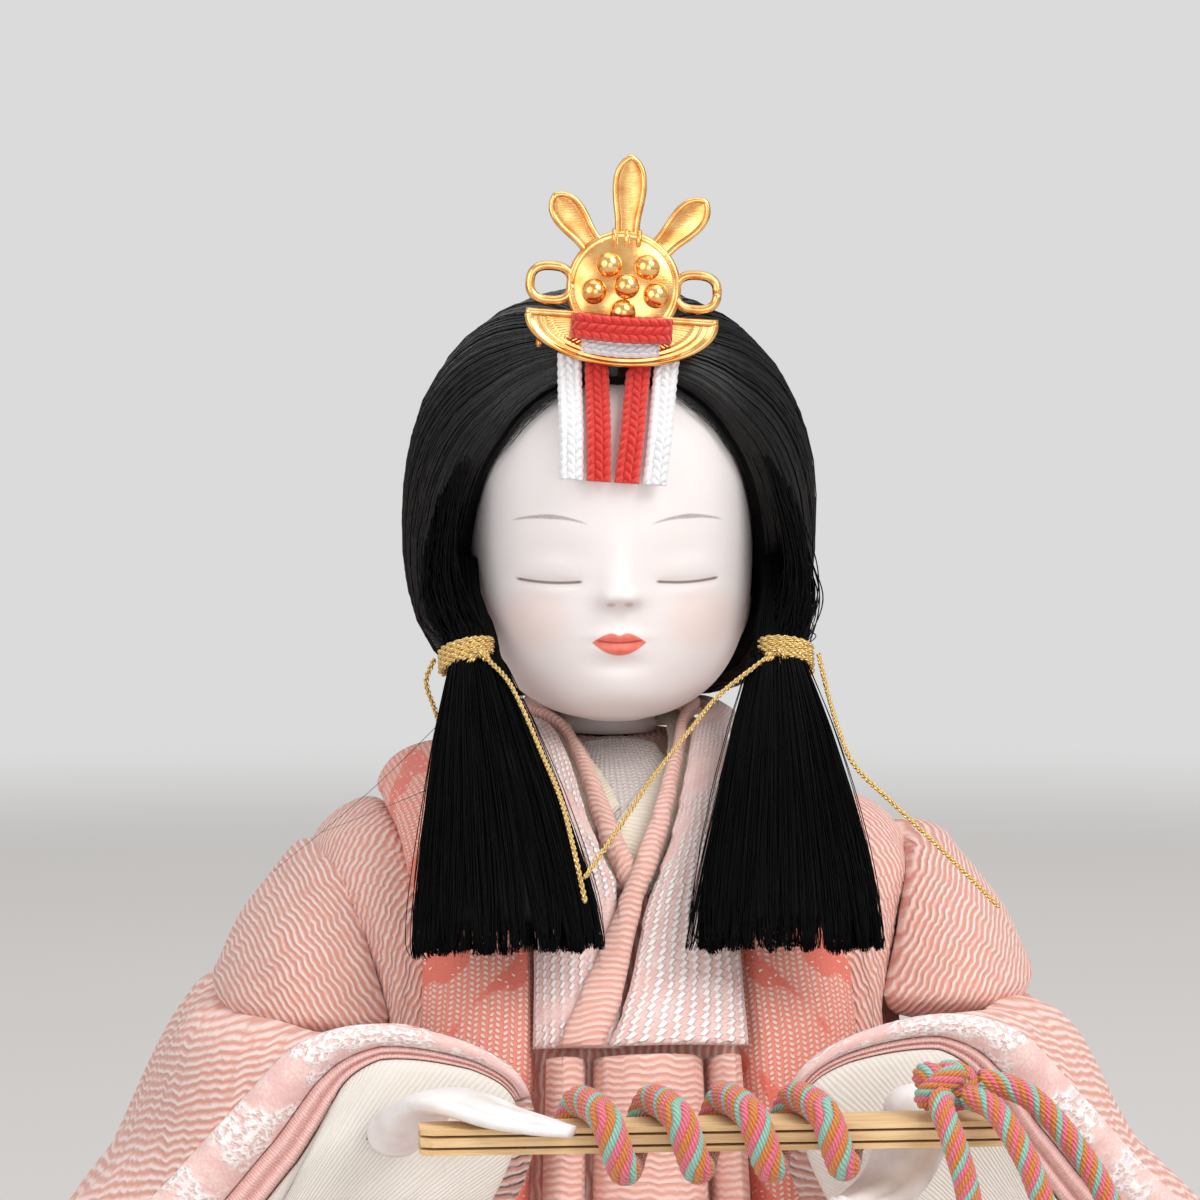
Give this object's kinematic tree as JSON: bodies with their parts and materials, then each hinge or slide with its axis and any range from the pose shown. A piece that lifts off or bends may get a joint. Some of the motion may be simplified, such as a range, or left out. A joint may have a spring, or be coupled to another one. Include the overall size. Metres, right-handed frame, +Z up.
{
  "type": "hina doll",
  "caption": "Seated festival doll of an empress in padded layered robes, with a gilt crown, tied black hair and a folded fan bound with cord in her hands.",
  "frame": {"origin": "the middle of the doll's underside, on the neck's vertical axis, on the surface she stands on", "axes": "+X to the viewer's right as one faces the doll, -Y the way she faces, +Z up"},
  "size_m": [0.197, 0.1565, 0.1727],
  "materials": {
    "felt": "matt pressed felt",
    "board": "plain sanded wood",
    "straw": "bound straw, matt",
    "paper": "matt wrapping paper",
    "wire": "drawn wire",
    "salmon": "crinkled crepe, soft sheen",
    "coral": "figured brocade, soft sheen",
    "brocade": "pale figured brocade with raised white threads",
    "pink": "plain weave, matt",
    "cream": "padded plain silk, matt",
    "knit": "crepe knit, matt",
    "red": "plain weave, matt",
    "train": "pleated plain silk, matt",
    "face": "smooth shell-white coating, matt",
    "hand": "smooth white coating, matt",
    "hair": "combed silk strands, soft sheen",
    "gold": "gilt, polished and tooled",
    "gold_cord": "twisted metallic thread",
    "red_cord": "flat silk braid",
    "white_cord": "flat silk braid",
    "mixed_cord": "twisted cord of pink, orange and pale green strands",
    "fan_wood": "pale sanded wood"
  },
  "bodies": {
    "figure": {"base_felt": "felt", "base_board": "board", "robe_body": "salmon", "straw_core": "straw", "arm_wire_left": "wire", "arm_wire_right": "wire", "knit_collar": "knit", "cream_collar": "cream", "salmon_collar": "salmon", "brocade_collar": "brocade", "coral_band_left": "coral", "coral_band_right": "coral", "shoulder_strip_left": "salmon", "shoulder_strip_right": "salmon", "back_panel": "coral", "upper_sleeve_left": "salmon", "upper_sleeve_right": "salmon", "lower_sleeve_left": "salmon", "lower_sleeve_right": "salmon", "sleeve_brocade_left": "brocade", "sleeve_brocade_right": "brocade", "sleeve_pink_left": "pink", "sleeve_pink_right": "pink", "sleeve_lining_left": "cream", "sleeve_lining_right": "cream", "waist_panel_left": "salmon", "waist_panel_centre": "salmon", "waist_panel_right": "salmon", "lap": "salmon", "hakama": "red", "hem_brocade": "brocade", "train": "train", "hand_left": "hand", "hand_right": "hand"},
    "neck": {"neck_wrap": "paper"},
    "head": {"head": "face", "head_peg": "board", "hair_cap": "hair", "side_lock_left": "hair", "side_lock_right": "hair", "lock_tie_left": "gold_cord", "lock_tie_right": "gold_cord", "back_hair": "hair", "gold_tail_a": "gold_cord", "gold_tail_b": "gold_cord", "gold_tail_c": "gold_cord", "gold_tail_d": "gold_cord"},
    "crown": {"crown_plate": "gold", "red_braid": "red_cord", "white_braid": "white_cord", "red_wrap": "red_cord", "white_wrap": "white_cord"},
    "fan": {"fan_guard_lower": "fan_wood", "fan_blades": "fan_wood", "fan_guard_upper": "fan_wood", "fan_cord_winding": "mixed_cord", "fan_cord_knot": "mixed_cord", "fan_tail_a": "mixed_cord", "fan_tail_b": "mixed_cord", "fan_tail_c": "mixed_cord"}
  },
  "joints": [
    {"name": "head_lift", "type": "slide", "parent": "figure", "child": "neck", "axis": [0, 0, 1], "range_m": [0, 0.024]},
    {"name": "head_turn", "type": "hinge", "parent": "neck", "child": "head", "pos_m": [0, 0, 0.1], "axis": [0, 0, 1], "range_deg": [-10, 10]},
    {"name": "crown_lift", "type": "slide", "parent": "head", "child": "crown", "axis": [0.0684, -0.0265, 0.9973], "range_m": [0, 0.012]},
    {"name": "fan_lift", "type": "slide", "parent": "figure", "child": "fan", "axis": [0, -1, 0], "range_m": [0, 0.02]}
  ]
}
